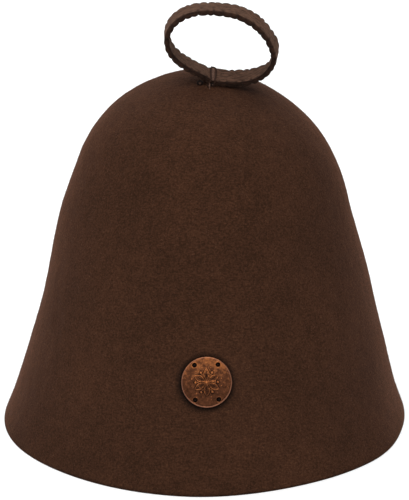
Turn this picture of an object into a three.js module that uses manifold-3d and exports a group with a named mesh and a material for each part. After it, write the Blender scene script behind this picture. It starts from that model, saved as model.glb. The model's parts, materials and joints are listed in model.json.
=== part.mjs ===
// A sauna hat: a one-piece felt bell with a felt hanging loop sewn on top and a copper badge in front.
// Millimetres, +Z up. The rim lies flat on z = 0 round the origin, and the badge faces -Y.
import * as THREE from 'three';
import { mergeVertices } from 'three/addons/utils/BufferGeometryUtils.js';
import Module from 'manifold-3d';

const wasm = await Module();
wasm.setup();

// Sizes of the crown
const rimWidth = 270;
const rimDepth = 286;
const crownHeight = 234;
const feltWall = 3;

// Sizes of the hanging loop
const loopWidth = 72;
const loopHeight = 52;
const loopAside = 11;
const loopForward = 17;
const strapWidth = 15.5;
const strapThickness = 3.4;
const strapEdgeRound = 0.6;
const scallopPitch = 5.2;
const scallopDepth = 0.45;

// Sizes of the binding thread
const threadDiameter = 1.1;
const threadSpacing = 4.6;
const threadFootSpacing = 3.4;
const threadArch = 0.6;

// Sizes of the badge
const badgeDiameter = 31.2;
const badgeThickness = 1.6;
const badgeHeight = 66.2;
const badgeAside = -1;
const badgeTurn = 3;
const badgeRimWidth = 0.9;
const badgeRimRise = 0.3;
const badgeHoleDiameter = 2.9;
const badgeHoleCircle = 25.8;
const badgeHoleAngle = 34;
const rosetteRadius = 8.6;
const rosettePetals = 6;
const petalWidth = 3.4;
const beadCircle = 13.8;
const beadDiameter = 1.6;
const beadTopDiameter = 1.1;
const reliefRise = 0.5;

// Clearance between pieces that touch
const gap = 0.3;

// Fineness of the faceted surfaces
const crownSides = 48;
const ringsPerSection = 2;
const stepsPerScallop = 4;
const threadSteps = 44;
const threadSides = 8;
const badgeSides = 48;
const holeSides = 12;
const petalSteps = 5;

// Sections of the crown from the rim to the apex.
// up: share of the crown's height. wide and deep: shares of the rim's half width and half depth.
// sway: how far the section's middle lies to the right, a share of the rim's half width.
const crownSections = [
  { up: 0.00, wide: 1.000, deep: 1.000, sway: 0.000 },
  { up: 0.08, wide: 0.945, deep: 0.941, sway: 0.003 },
  { up: 0.16, wide: 0.903, deep: 0.896, sway: 0.009 },
  { up: 0.24, wide: 0.866, deep: 0.854, sway: 0.015 },
  { up: 0.32, wide: 0.829, deep: 0.813, sway: 0.020 },
  { up: 0.40, wide: 0.795, deep: 0.776, sway: 0.022 },
  { up: 0.50, wide: 0.753, deep: 0.731, sway: 0.018 },
  { up: 0.60, wide: 0.707, deep: 0.683, sway: 0.012 },
  { up: 0.70, wide: 0.653, deep: 0.628, sway: 0.018 },
  { up: 0.80, wide: 0.580, deep: 0.556, sway: 0.012 },
  { up: 0.88, wide: 0.473, deep: 0.451, sway: 0.003 },
  { up: 0.94, wide: 0.336, deep: 0.319, sway: -0.002 },
  { up: 0.985, wide: 0.163, deep: 0.154, sway: -0.001 },
  { up: 1.00, wide: 0.000, deep: 0.000, sway: 0.000 },
];

// Turns of the loop's outer face, seen from the front, anticlockwise from the binding.
// across: share of the loop's width from its left side. up: share of its height from its lowest turn.
// twist: degrees that the strap's front edge turns out of the loop.
const loopTurns = [
  { across: 0.430, up: 0.022, twist: 4 },
  { across: 0.560, up: 0.000, twist: 6 },
  { across: 0.700, up: 0.002, twist: 6 },
  { across: 0.830, up: 0.038, twist: 1 },
  { across: 0.946, up: 0.134, twist: -7 },
  { across: 1.006, up: 0.293, twist: -7 },
  { across: 1.000, up: 0.452, twist: -10 },
  { across: 0.944, up: 0.620, twist: -6 },
  { across: 0.849, up: 0.785, twist: -5 },
  { across: 0.681, up: 0.931, twist: 0 },
  { across: 0.505, up: 0.984, twist: 3 },
  { across: 0.322, up: 0.988, twist: 4 },
  { across: 0.176, up: 0.925, twist: 3 },
  { across: 0.069, up: 0.797, twist: 1 },
  { across: 0.018, up: 0.620, twist: -1 },
  { across: 0.040, up: 0.442, twist: 0 },
  { across: 0.118, up: 0.292, twist: 0 },
  { across: 0.238, up: 0.166, twist: 0 },
  { across: 0.345, up: 0.082, twist: 0 },
];

const felt = new THREE.MeshStandardMaterial({ color: 0x44301f, roughness: 0.95, metalness: 0 });
const strapFelt = new THREE.MeshStandardMaterial({ color: 0x5f473c, roughness: 0.95, metalness: 0 });
const thread = new THREE.MeshStandardMaterial({ color: 0x36261e, roughness: 0.9, metalness: 0 });
const copper = new THREE.MeshStandardMaterial({ color: 0x7a4a2e, roughness: 0.45, metalness: 0.9 });

// Profile of the crown, mirrored past the apex so that it passes over the top smoothly.
function makeCrownProfile() {
  const rising = crownSections.map(
    (row) => new THREE.Vector3(row.wide * rimWidth / 2, row.deep * rimDepth / 2, row.up * crownHeight)
  );
  const falling = rising.slice(0, -1).reverse().map((p) => new THREE.Vector3(-p.x, -p.y, p.z));
  return new THREE.CatmullRomCurve3([...rising, ...falling], false, 'centripetal');
}

// The line through the middles of the sections, mirrored past the apex in the same way.
function makeCrownMiddle() {
  const rising = crownSections.map(
    (row) => new THREE.Vector3(row.sway * rimWidth / 2, 0, row.up * crownHeight)
  );
  const falling = rising.slice(0, -1).reverse();
  return new THREE.CatmullRomCurve3([...rising, ...falling], false, 'catmullrom', 0.5);
}

const crownProfile = makeCrownProfile();
const crownMiddle = makeCrownMiddle();

// Half width, half depth, middle and height of the crown at a share of the way from rim to apex.
function crownSection(share) {
  const p = crownProfile.getPoint(share / 2);
  const middle = crownMiddle.getPoint(share / 2).x;
  return { halfWidth: Math.max(p.x, 0), halfDepth: Math.max(p.y, 0), middle, z: p.z };
}

// Point of the crown's outer face at an angle round it and a share of the way from rim to apex.
function crownPoint(angle, share) {
  const s = crownSection(share);
  return new THREE.Vector3(
    s.middle + s.halfWidth * Math.cos(angle),
    s.halfDepth * Math.sin(angle),
    s.z
  );
}

// The crown's outward normal and its upward tangent at the same kind of place.
function crownFrame(angle, share) {
  const nudge = 1e-4;
  const low = Math.max(share - nudge, 0);
  const high = Math.min(share + nudge, 1 - nudge);
  const rise = crownPoint(angle, high).sub(crownPoint(angle, low)).normalize();
  const middle = (low + high) / 2;
  const round = crownPoint(angle + nudge, middle).sub(crownPoint(angle - nudge, middle)).normalize();
  const normal = round.clone().cross(rise).normalize();
  return { normal, rise };
}

// The share of the way from rim to apex where a measure of the section reaches a target.
function findShare(measure, target) {
  let low = 0;
  let high = 1;
  const rising = measure(crownSection(1)) > measure(crownSection(0));
  for (let turn = 0; turn < 40; turn += 1) {
    const middle = (low + high) / 2;
    const past = measure(crownSection(middle)) > target;
    if (past === rising) high = middle;
    else low = middle;
  }
  return (low + high) / 2;
}

// True where a point lies inside the crown's outer face.
function insideCrown(point) {
  if (point.z >= crownHeight) return false;
  const s = crownSection(findShare((section) => section.z, point.z));
  const x = (point.x - s.middle) / s.halfWidth;
  const y = point.y / s.halfDepth;
  return x * x + y * y < 1;
}

// How far a point stands off the crown's outer face, measured along a direction.
function standOff(point, direction) {
  const reach = rimWidth / 4;
  let near = -reach;
  let far = reach;
  for (let turn = 0; turn < 24; turn += 1) {
    const middle = (near + far) / 2;
    if (insideCrown(point.clone().addScaledVector(direction, -middle))) far = middle;
    else near = middle;
  }
  return (near + far) / 2;
}

// A closed body from rows of points: each row is a ring, and rows may end in a single point.
function skin(rows, closesOnItself) {
  const positions = [];
  const starts = [];
  for (const row of rows) {
    starts.push(positions.length / 3);
    for (const p of row) positions.push(p.x, p.y, p.z);
  }
  const index = [];
  const bands = closesOnItself ? rows.length : rows.length - 1;
  for (let r = 0; r < bands; r += 1) {
    const next = (r + 1) % rows.length;
    const sides = Math.max(rows[r].length, rows[next].length);
    for (let i = 0; i < sides; i += 1) {
      const j = (i + 1) % sides;
      const a = starts[r] + (rows[r].length > 1 ? i : 0);
      const b = starts[r] + (rows[r].length > 1 ? j : 0);
      const c = starts[next] + (rows[next].length > 1 ? i : 0);
      const d = starts[next] + (rows[next].length > 1 ? j : 0);
      if (a !== b) index.push(a, b, d);
      if (c !== d) index.push(a, d, c);
    }
  }
  const geometry = new THREE.BufferGeometry();
  geometry.setAttribute('position', new THREE.Float32BufferAttribute(positions, 3));
  geometry.setIndex(index);
  geometry.computeVertexNormals();
  return geometry;
}

function named(name, geometry, material) {
  const mesh = new THREE.Mesh(geometry, material);
  mesh.name = name;
  return mesh;
}

// The felt bell: its outer face from rim to apex, and its inner face one wall further in.
function makeCrown() {
  const rings = (crownSections.length - 1) * ringsPerSection;
  const outer = [];
  const inner = [];
  for (let r = 0; r < rings; r += 1) {
    const share = r / rings;
    const outerRing = [];
    const innerRing = [];
    for (let i = 0; i < crownSides; i += 1) {
      const angle = (i / crownSides) * Math.PI * 2;
      const p = crownPoint(angle, share);
      const { normal, rise } = crownFrame(angle, share);
      const q = p.clone().addScaledVector(normal, -feltWall);
      // The rim is cut flat, so the inner face starts where it meets the rim's plane.
      q.addScaledVector(rise, Math.max(0, -q.z / rise.z));
      outerRing.push(p);
      innerRing.push(q);
    }
    outer.push(outerRing);
    inner.push(innerRing);
  }
  const apex = crownPoint(0, 1);
  const innerApex = apex.clone();
  innerApex.z -= feltWall;
  const rows = [[innerApex], ...inner.reverse(), ...outer, [apex]];
  return named('crown', skin(rows, false), felt);
}

// The loop stands square on the crown, in front of the apex and a little to the right.
function makeLoopFrame() {
  const front = -Math.PI / 2;
  const share = findShare((section) => section.halfDepth, loopForward);
  const seat = crownPoint(front, share);
  const { normal, rise } = crownFrame(front, share);
  seat.x = loopAside;
  return { seat, up: normal, forward: rise.clone().negate() };
}

const loopFrame = makeLoopFrame();
const loopOutline = new THREE.CatmullRomCurve3(
  loopTurns.map((row) => new THREE.Vector3(
    (row.across - 0.5) * loopWidth,
    row.up * loopHeight,
    THREE.MathUtils.degToRad(row.twist)
  )),
  true,
  'centripetal'
);

// Place and directions of the strap at a share of the way round the loop.
function strapFrame(share) {
  const turn = loopOutline.getPointAt(share);
  const nudge = 1e-3;
  const ahead = loopOutline.getPointAt((share + nudge) % 1);
  const behind = loopOutline.getPointAt((share - nudge + 1) % 1);
  const { seat, up, forward } = loopFrame;
  const side = new THREE.Vector3(1, 0, 0);
  const place = seat.clone().addScaledVector(side, turn.x).addScaledVector(up, turn.y);
  const along = side.clone().multiplyScalar(ahead.x - behind.x)
    .addScaledVector(up, ahead.y - behind.y).normalize();
  const out = along.clone().cross(forward).normalize();
  const across = forward.clone().applyAxisAngle(along, turn.z);
  out.applyAxisAngle(along, turn.z);
  return { place, along, out, across };
}

// How far the loop is raised so that its lowest turn clears the crown by the gap.
function makeLoopLift() {
  let nearest = Infinity;
  const samples = 80;
  for (let i = 0; i < samples; i += 1) {
    const { place, across } = strapFrame(i / samples);
    for (const edge of [-0.5, 0, 0.5]) {
      const point = place.clone().addScaledVector(across, edge * strapWidth);
      nearest = Math.min(nearest, standOff(point, loopFrame.up));
    }
  }
  return gap - nearest;
}

loopFrame.seat.addScaledVector(loopFrame.up, makeLoopLift());

// The strap: a flat rounded band with scalloped edges, swept round the loop.
function makeLoopStrap() {
  const scallops = Math.round(loopOutline.getLength() / scallopPitch);
  const steps = scallops * stepsPerScallop;
  const rows = [];
  for (let i = 0; i < steps; i += 1) {
    const { place, out, across } = strapFrame(i / steps);
    const swell = Math.abs(Math.sin(Math.PI * i / stepsPerScallop));
    const half = strapWidth / 2 - scallopDepth * (1 - swell);
    const flat = half - strapEdgeRound;
    const corners = [
      [half, -strapEdgeRound],
      [flat, 0],
      [-flat, 0],
      [-half, -strapEdgeRound],
      [-half, strapEdgeRound - strapThickness],
      [-flat, -strapThickness],
      [flat, -strapThickness],
      [half, strapEdgeRound - strapThickness],
    ];
    rows.push(corners.map(([w, o]) => place.clone().addScaledVector(across, w).addScaledVector(out, o)));
  }
  return named('loop_strap', skin(rows, true), strapFelt);
}

// The binding: one thread that rises out of the felt, crosses the strap's inner face, turns round over
// its far edge and comes back beside itself.
function makeBindingThread() {
  const clear = gap + threadDiameter / 2;
  const half = strapWidth / 2;
  const bend = threadSpacing / 2;
  const frameAt = (aside) => strapFrame((aside / loopOutline.getLength() + 1) % 1);
  const at = (frame, w, o) => frame.place.clone()
    .addScaledVector(frame.across, w)
    .addScaledVector(frame.out, o);
  const strand = (side) => {
    const low = frameAt(side * threadFootSpacing / 2);
    const high = frameAt(side * bend);
    const foot = at(low, half + clear, 0);
    const drop = standOff(foot, low.out.clone().negate()) - gap;
    return [
      foot.addScaledVector(low.out, drop),
      at(low, half + clear, -strapThickness / 2),
      at(low, half + clear * 0.8, -strapThickness - clear * 0.4),
      at(low, half - strapEdgeRound, -strapThickness - clear * 1.1),
      at(high, 0, -strapThickness - clear),
      at(high, bend - half, -strapThickness - clear),
    ];
  };
  // A point of the round turn between the strands, and how far it stands off the inner face there.
  const turn = (angle, lift) => at(
    frameAt(-bend * Math.cos(angle)),
    bend - half - (bend + threadArch) * Math.sin(angle),
    -strapThickness - clear * lift
  );
  const arch = [turn(Math.PI / 4, 0.9), turn(Math.PI / 2, 0.3), turn(Math.PI * 3 / 4, 0.9)];
  const turns = [...strand(-1), ...arch, ...strand(1).reverse()];
  const path = new THREE.CatmullRomCurve3(turns, false, 'centripetal');
  const section = new THREE.Shape();
  section.absarc(0, 0, threadDiameter / 2, 0, Math.PI * 2, false);
  const geometry = new THREE.ExtrudeGeometry(section, {
    steps: threadSteps,
    curveSegments: threadSides / 2,
    extrudePath: path,
    bevelEnabled: false,
  });
  return named('binding_thread', geometry, thread);
}

// A solid for cutting and joining, from a closed geometry.
function solid(geometry) {
  const bare = geometry.index ? geometry.toNonIndexed() : geometry.clone();
  bare.deleteAttribute('normal');
  bare.deleteAttribute('uv');
  const merged = mergeVertices(bare, 1e-4);
  const mesh = new wasm.Mesh({
    numProp: 3,
    vertProperties: new Float32Array(merged.attributes.position.array),
    triVerts: new Uint32Array(merged.index.array),
  });
  return new wasm.Manifold(mesh);
}

function geometryOf(body) {
  const mesh = body.getMesh();
  const geometry = new THREE.BufferGeometry();
  geometry.setAttribute('position', new THREE.Float32BufferAttribute(mesh.vertProperties, 3));
  geometry.setIndex([...mesh.triVerts]);
  geometry.computeVertexNormals();
  return geometry;
}

// The plain disc with its raised rim, its face up and its back on z = 0.
function makeBadgeBlank() {
  const radius = badgeDiameter / 2;
  const top = badgeThickness + badgeRimRise;
  const bevel = badgeRimWidth / 3;
  const profile = [
    new THREE.Vector2(0, 0),
    new THREE.Vector2(radius - bevel, 0),
    new THREE.Vector2(radius, bevel),
    new THREE.Vector2(radius, top - bevel),
    new THREE.Vector2(radius - bevel, top),
    new THREE.Vector2(radius - badgeRimWidth + bevel, top),
    new THREE.Vector2(radius - badgeRimWidth, badgeThickness),
    new THREE.Vector2(0, badgeThickness),
  ];
  return new THREE.LatheGeometry(profile, badgeSides).rotateX(Math.PI / 2);
}

// One pointed petal of the rosette, between two arcs, standing up from the disc's face.
// A quadratic curve reaches half way to its control point, so the petal is as wide as stated.
function makePetal() {
  const shape = new THREE.Shape();
  const inner = beadDiameter / 2;
  const middle = (inner + rosetteRadius) / 2;
  shape.moveTo(0, inner);
  shape.quadraticCurveTo(petalWidth, middle, 0, rosetteRadius);
  shape.quadraticCurveTo(-petalWidth, middle, 0, inner);
  const sunk = badgeThickness / 2;
  return new THREE.ExtrudeGeometry(shape, {
    depth: sunk + reliefRise,
    curveSegments: petalSteps,
    bevelEnabled: false,
  }).translate(0, 0, badgeThickness - sunk);
}

// A small round bead of the rosette.
function makeBead(x, y) {
  const sunk = badgeThickness / 2;
  const height = sunk + reliefRise;
  return new THREE.CylinderGeometry(beadTopDiameter / 2, beadDiameter / 2, height, holeSides)
    .rotateX(Math.PI / 2)
    .translate(x, y, badgeThickness - sunk + height / 2);
}

// A cutter for one sewing hole, longer than the disc is thick.
function makeHole() {
  const radius = badgeHoleDiameter / 2;
  const length = 2 * (badgeThickness + badgeRimRise + reliefRise);
  return new THREE.CylinderGeometry(radius, radius, length, holeSides).rotateX(Math.PI / 2);
}

// The badge: the disc with a compass-drawn rosette in low relief and four holes to sew it on by.
function makeBadge() {
  let body = solid(makeBadgeBlank());
  for (let i = 0; i < rosettePetals; i += 1) {
    const angle = (i / rosettePetals) * Math.PI * 2;
    const between = angle + Math.PI / rosettePetals;
    const reach = beadCircle / 2;
    body = body.add(solid(makePetal().rotateZ(angle)));
    body = body.add(solid(makeBead(reach * Math.sin(between), reach * Math.cos(between))));
  }
  const lean = THREE.MathUtils.degToRad(badgeHoleAngle);
  for (const right of [-1, 1]) {
    for (const upper of [-1, 1]) {
      const x = right * Math.sin(lean) * badgeHoleCircle / 2;
      const y = upper * Math.cos(lean) * badgeHoleCircle / 2;
      body = body.subtract(solid(makeHole().translate(x, y, badgeThickness / 2)));
    }
  }
  const geometry = geometryOf(body).rotateZ(THREE.MathUtils.degToRad(badgeTurn));
  return named('badge_disc', geometry, copper);
}

// The badge lies against the felt in front, at its own height, and clears it by the gap.
function seatBadge(badge) {
  const front = -Math.PI / 2;
  const share = findShare((section) => section.z, badgeHeight);
  const { normal, rise } = crownFrame(front, share);
  const side = rise.clone().cross(normal);
  const centre = crownPoint(front, share);
  centre.addScaledVector(side, badgeAside);
  let nearest = Infinity;
  for (let i = 0; i < badgeSides; i += 1) {
    const angle = (i / badgeSides) * Math.PI * 2;
    for (const radius of [0, badgeDiameter / 4, badgeDiameter / 2]) {
      const point = centre.clone()
        .addScaledVector(side, radius * Math.cos(angle))
        .addScaledVector(rise, radius * Math.sin(angle));
      nearest = Math.min(nearest, standOff(point, normal));
    }
  }
  centre.addScaledVector(normal, gap - nearest);
  badge.quaternion.setFromRotationMatrix(new THREE.Matrix4().makeBasis(side, rise, normal));
  badge.position.copy(centre);
  return badge;
}

const hat = new THREE.Group();
hat.name = 'sauna_hat';
hat.add(makeCrown());
hat.add(makeLoopStrap());
hat.add(makeBindingThread());
hat.add(seatBadge(makeBadge()));

export default hat;
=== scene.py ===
"""A sauna hat: a brown felt bell with a felt hanging loop on top and a copper badge in front."""

import json
import random
from math import atan2, cos, pi, radians, sin, tan

import bpy
import numpy as np
from mathutils import Matrix, Vector, noise

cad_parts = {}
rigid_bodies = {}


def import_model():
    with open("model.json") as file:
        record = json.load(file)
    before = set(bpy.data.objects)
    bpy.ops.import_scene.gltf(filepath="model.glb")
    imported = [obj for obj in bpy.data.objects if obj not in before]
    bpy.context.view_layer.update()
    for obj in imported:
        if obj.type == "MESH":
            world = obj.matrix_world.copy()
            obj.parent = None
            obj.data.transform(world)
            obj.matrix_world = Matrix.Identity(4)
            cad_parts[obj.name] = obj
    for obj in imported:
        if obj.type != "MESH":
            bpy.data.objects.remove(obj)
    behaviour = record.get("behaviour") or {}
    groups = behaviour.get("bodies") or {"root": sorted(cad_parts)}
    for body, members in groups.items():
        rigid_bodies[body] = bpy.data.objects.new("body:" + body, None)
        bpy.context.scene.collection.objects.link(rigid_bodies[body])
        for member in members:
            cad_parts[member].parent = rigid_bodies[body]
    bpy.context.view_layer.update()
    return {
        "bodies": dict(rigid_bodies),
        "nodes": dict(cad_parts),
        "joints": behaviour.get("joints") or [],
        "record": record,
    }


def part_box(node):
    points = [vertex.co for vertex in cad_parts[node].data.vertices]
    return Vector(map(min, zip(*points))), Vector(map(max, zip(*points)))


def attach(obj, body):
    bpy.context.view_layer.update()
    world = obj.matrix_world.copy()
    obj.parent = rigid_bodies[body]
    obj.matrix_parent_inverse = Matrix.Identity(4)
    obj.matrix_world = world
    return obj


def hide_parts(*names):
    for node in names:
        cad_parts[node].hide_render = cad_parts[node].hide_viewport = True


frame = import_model()

# Lengths are metres. MM turns a millimetre size into metres.
MM = 0.001

# Camera
VIEW_ELEVATION = radians(18)
VIEW_ROLL = radians(0.4)
VIEW_DISTANCE = 1.4
VIEW_ASIDE = 0.66 * MM
VIEW_HEIGHT = 112.8 * MM
SENSOR = 36
IMAGE_HEIGHT = 500
MM_PER_PIXEL = 0.66

# Sizes of the crown that the frame doesn't give
FELT_WALL = 3 * MM
CROWN_SIDES = 320
CROWN_RINGS = 150
INNER_RINGS = 64
LOWEST_RING = 0.7 * MM
LOWEST_INNER_RING = 0.5 * MM
HIGHEST_RING_SHARE = 0.994
CURVE_STEPS = 40

# Rows of the cut rim, from its outer edge inwards: share of its width, and height in millimetres
RIM_ROWS = [(0.06, 0.28), (0.16, 0.06), (0.35, 0), (0.65, 0), (0.84, 0.06), (0.94, 0.28)]

# The felt's lumps and pressed marks, and how far over the rim they fade in
LUMP_SIZE = 60 * MM
LUMP_HEIGHT = 0.55 * MM
MARK_SIZE = 9 * MM
MARK_HEIGHT = 0.14 * MM
CALM_RIM = 1 * MM
CALM_FADE = 8 * MM

# Loose wool fibres: their number and fixed seed, and the range of each measure. Their heights are
# shares of the crown's, and their lengths and radii millimetres.
FIBRE_COUNT = 19000
FIBRE_SEED = 11
FIBRE_HEIGHTS = (0.006, 0.985)
FIBRE_LENGTHS = (0.9, 2.6)
FIBRE_STANDS = (0.25, 0.8)
FIBRE_CURLS = (-0.5, 0.5)
FIBRE_RADII = (0.03, 0.052)
FIBRE_ROOT = 0.15 * MM

# Sizes of the hanging loop
LOOP_WIDTH = 72 * MM
LOOP_HEIGHT = 52 * MM
LOOP_ASIDE = 11 * MM
LOOP_FORWARD = 17 * MM
STRAP_WIDTH = 15.5 * MM
STRAP_THICKNESS = 3.4 * MM
STRAP_EDGE_ROUND = 0.55 * MM
SCALLOP_PITCH = 5.2 * MM
SCALLOP_DEPTH = 0.6 * MM
SCALLOP_PINCH = 0.7 * MM
STRAP_STEPS = 608
STRAP_LUMP_SIZE = 3.2 * MM
STRAP_LUMP_HEIGHT = 0.16 * MM
EDGE_BULGE = 0.1 * MM
SCALLOP_SWELL = 0.08 * MM
SCALLOP_SHARPNESS = 0.6

# Rows of the strap's faces, as distances in from an edge, and how far in a stitch sinks the face,
# all in millimetres
STRAP_INSETS = (0.25, 0.5, 0.8, 1.2, 1.8, 2.8, 4.4)
PINCH_REACH = 2.4

# The overcast: where each stitch may stray to, as a share of the pitch, and how hard it pulls
STITCH_SEEDS = {1: 7, -1: 8}
STITCH_STRAY = (-0.17, 0.17)
STITCH_PULLS = (0.45, 1.25)

# Sizes of threads
OVERCAST_THREAD = 0.5 * MM
BINDING_THREAD = 1.1 * MM
THREAD_SPACING = 4.6 * MM
THREAD_FOOT_SPACING = 3.4 * MM
THREAD_ARCH = 0.6 * MM
THREAD_ASIDE = -0.3 * MM
THREAD_CLEAR = 0.1 * MM

# Sizes of the badge
BADGE_THICKNESS = 1.6 * MM
BADGE_RIM_WIDTH = 0.9 * MM
BADGE_RIM_RISE = 0.3 * MM
BADGE_HOLE = 2.9 * MM
BADGE_HOLE_CIRCLE = 25.8 * MM
BADGE_HOLE_ANGLE = radians(34)
BADGE_TURN = radians(3)
BADGE_HEIGHT = 66.2 * MM
BADGE_GAP = 0.05 * MM
BADGE_EDGE_GAP = 0.35 * MM
BADGE_SETTLE = 8 * MM
ROSETTE_RADIUS = 8.6 * MM
ROSETTE_PETALS = 6
PETAL_WIDTH = 3.4 * MM
RELIEF_RISE = 0.32 * MM
ENGRAVING_DEPTH = 0.24 * MM
BEAD_CIRCLE = 13.8 * MM
BEAD_DIAMETER = 1.6 * MM
BADGE_SIDES = 256
BADGE_FACE_RINGS = 110
HOLE_SIDES = 40
HAMMER_SIZE = 3.0 * MM
HAMMER_HEIGHT = 0.11 * MM

# Directions: the angle of the hat's front, and unit lengths to the right and to the back
FRONT = -pi / 2
SIDEWAYS = np.array((1.0, 0, 0))
BACKWARD = np.array((0, 1.0, 0))

# Columns of the crown's curve
DEPTH_COLUMN = 1
HEIGHT_COLUMN = 2

# Light
WORLD_STRENGTH = 0.14
FLOOR_HALF = 6.0
FLOOR_GLOW = 0.12
LIGHTS = [
    # name, place, aims at, size, watts
    ("overhead", (0, -0.6, 1.8), (0, -0.1, 0.1), 2.2, 41),
    ("sweep", (0, 1.7, 1.5), (0, 0.9, 0), 2.2, 32),
    ("key", (-1.4, -1.2, 1.1), (0, 0, 0.12), 1.0, 5.5),
    ("fill", (0.0, -2.6, 1.2), (0, 0, 0.12), 1.4, 5.5),
]

# Sections of the crown from the rim to the apex: share of the height, shares of the rim's half
# width and half depth, and sideways shift as a share of the rim's half width.
CROWN_SECTIONS = [
    # up, wide, deep, sway
    (0.00, 1.000, 1.000, 0.000),
    (0.08, 0.945, 0.941, 0.003),
    (0.16, 0.903, 0.896, 0.009),
    (0.24, 0.866, 0.854, 0.015),
    (0.32, 0.829, 0.813, 0.020),
    (0.40, 0.795, 0.776, 0.022),
    (0.50, 0.753, 0.731, 0.018),
    (0.60, 0.707, 0.683, 0.012),
    (0.70, 0.653, 0.628, 0.018),
    (0.80, 0.580, 0.556, 0.012),
    (0.88, 0.473, 0.451, 0.003),
    (0.94, 0.336, 0.319, -0.002),
    (0.985, 0.163, 0.154, -0.001),
    (1.00, 0.000, 0.000, 0.000),
]

# Turns of the loop's outer face, seen from the front, anticlockwise from the binding: share of the
# loop's width from its left, share of its height from its lowest turn, and twist in degrees.
LOOP_TURNS = [
    # across, up, twist
    (0.430, 0.022, 4),
    (0.560, 0.000, 6),
    (0.700, 0.002, 6),
    (0.830, 0.038, 1),
    (0.946, 0.134, -7),
    (1.006, 0.293, -7),
    (1.000, 0.452, -10),
    (0.944, 0.620, -6),
    (0.849, 0.785, -5),
    (0.681, 0.931, 0),
    (0.505, 0.984, 3),
    (0.322, 0.988, 4),
    (0.176, 0.925, 3),
    (0.069, 0.797, 1),
    (0.018, 0.620, -1),
    (0.040, 0.442, 0),
    (0.118, 0.292, 0),
    (0.238, 0.166, 0),
    (0.345, 0.082, 0),
]

# Shallow dents in the felt: angle round the crown, height, radius and depth.
DENTS = [
    # degrees, then millimetres: height, radius, depth
    (-77, 74, 5, 0.5),
    (-151, 82, 7, 0.7),
    (-79, 171, 16, 0.7),
    (-58, 175, 22, 1.0),
    (-49, 129, 20, 1.1),
    (-66, 95, 24, 1.1),
    (-128, 165, 18, 0.8),
    (-112, 120, 22, 0.6),
    (18, 120, 26, 1.1),
    (64, 90, 22, 1.0),
    (112, 150, 24, 1.1),
    (158, 105, 20, 0.9),
]

# Unevenness of the rim: angle round it, and its reach as a share of the plain oval.
RIM_REACH = [
    # degrees, share
    (-180, 0.998),
    (-168, 1.003),
    (-155, 1.004),
    (-145, 0.997),
    (-135, 0.990),
    (-124, 0.988),
    (-114, 0.991),
    (-104, 0.995),
    (-92, 1.002),
    (-84, 0.998),
    (-72, 0.991),
    (-62, 0.991),
    (-54, 0.998),
    (-45, 1.006),
    (-38, 1.015),
    (-31, 1.017),
    (-24, 1.009),
    (-17, 1.000),
    (-5, 0.998),
    (20, 1.003),
    (48, 0.995),
    (75, 1.003),
    (104, 1.000),
    (134, 1.005),
    (160, 0.996),
]
RIM_REACH_HEIGHT = 70 * MM


# Camera

def make_camera():
    forward = Vector((0, cos(VIEW_ELEVATION), -sin(VIEW_ELEVATION)))
    up = Vector((0, sin(VIEW_ELEVATION), cos(VIEW_ELEVATION)))
    right = Vector((1, 0, 0))
    rolled_right = right - up * tan(VIEW_ROLL)
    rolled_right.normalize()
    rolled_up = -forward.cross(rolled_right)
    data = bpy.data.cameras.new("camera")
    data.sensor_width = SENSOR
    focal_pixels = VIEW_DISTANCE / (MM_PER_PIXEL * MM)
    data.lens = focal_pixels / IMAGE_HEIGHT * SENSOR
    data.clip_end = 20
    camera = bpy.data.objects.new("camera", data)
    bpy.context.scene.collection.objects.link(camera)
    place = Vector((VIEW_ASIDE, 0, VIEW_HEIGHT)) - forward * VIEW_DISTANCE
    turn = Matrix((rolled_right, rolled_up, -forward)).transposed()
    camera.matrix_world = Matrix.Translation(place) @ turn.to_4x4()
    bpy.context.scene.camera = camera


# Curves

class SmoothCurve:
    """A centripetal Catmull-Rom curve through rows of numbers, as in the part's source."""

    def __init__(self, rows, closed):
        rows = np.array(rows, dtype=float)
        self.rows = rows
        self.closed = closed
        self.spans = len(rows) if closed else len(rows) - 1
        t = np.linspace(0, 1, self.spans * CURVE_STEPS + 1)
        lengths = np.linalg.norm(np.diff(self.at(t), axis=0), axis=1)
        self.table_t = t
        self.table_length = np.concatenate([[0], np.cumsum(lengths)])
        self.length = self.table_length[-1]

    def row(self, index):
        count = len(self.rows)
        if self.closed:
            return self.rows[index % count]
        inside = self.rows[np.clip(index, 0, count - 1)]
        before = 2 * self.rows[0] - self.rows[1]
        after = 2 * self.rows[-1] - self.rows[-2]
        inside = np.where((index < 0)[:, None], before, inside)
        return np.where((index >= count)[:, None], after, inside)

    def at(self, t):
        t = np.atleast_1d(np.asarray(t, dtype=float)) * self.spans
        span = np.floor(t).astype(int)
        if not self.closed:
            span = np.clip(span, 0, self.spans - 1)
        x = (t - span)[:, None]
        p0, p1, p2, p3 = (self.row(span + k) for k in (-1, 0, 1, 2))
        d0, d1, d2 = (
            np.maximum(np.linalg.norm(b - a, axis=1, keepdims=True), 1e-9) ** 0.5
            for a, b in ((p0, p1), (p1, p2), (p2, p3))
        )
        t1 = ((p1 - p0) / d0 - (p2 - p0) / (d0 + d1) + (p2 - p1) / d1) * d1
        t2 = ((p2 - p1) / d1 - (p3 - p1) / (d1 + d2) + (p3 - p2) / d2) * d1
        square = 3 * (p2 - p1) - 2 * t1 - t2
        cube = 2 * (p1 - p2) + t1 + t2
        return p1 + t1 * x + square * x ** 2 + cube * x ** 3

    def at_share(self, share):
        """Points at shares of the curve's length."""
        share = np.atleast_1d(np.asarray(share, dtype=float))
        if self.closed:
            share = share % 1
        return self.at(np.interp(share * self.length, self.table_length, self.table_t))


def unit(v):
    return v / np.linalg.norm(v, axis=-1, keepdims=True)


def smooth_step(value, low, high):
    """0 below low, 1 above high and a soft rise between them."""
    share = np.clip((value - low) / (high - low), 0, 1)
    return share * share * (3 - 2 * share)


# Crown's shape

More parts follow.
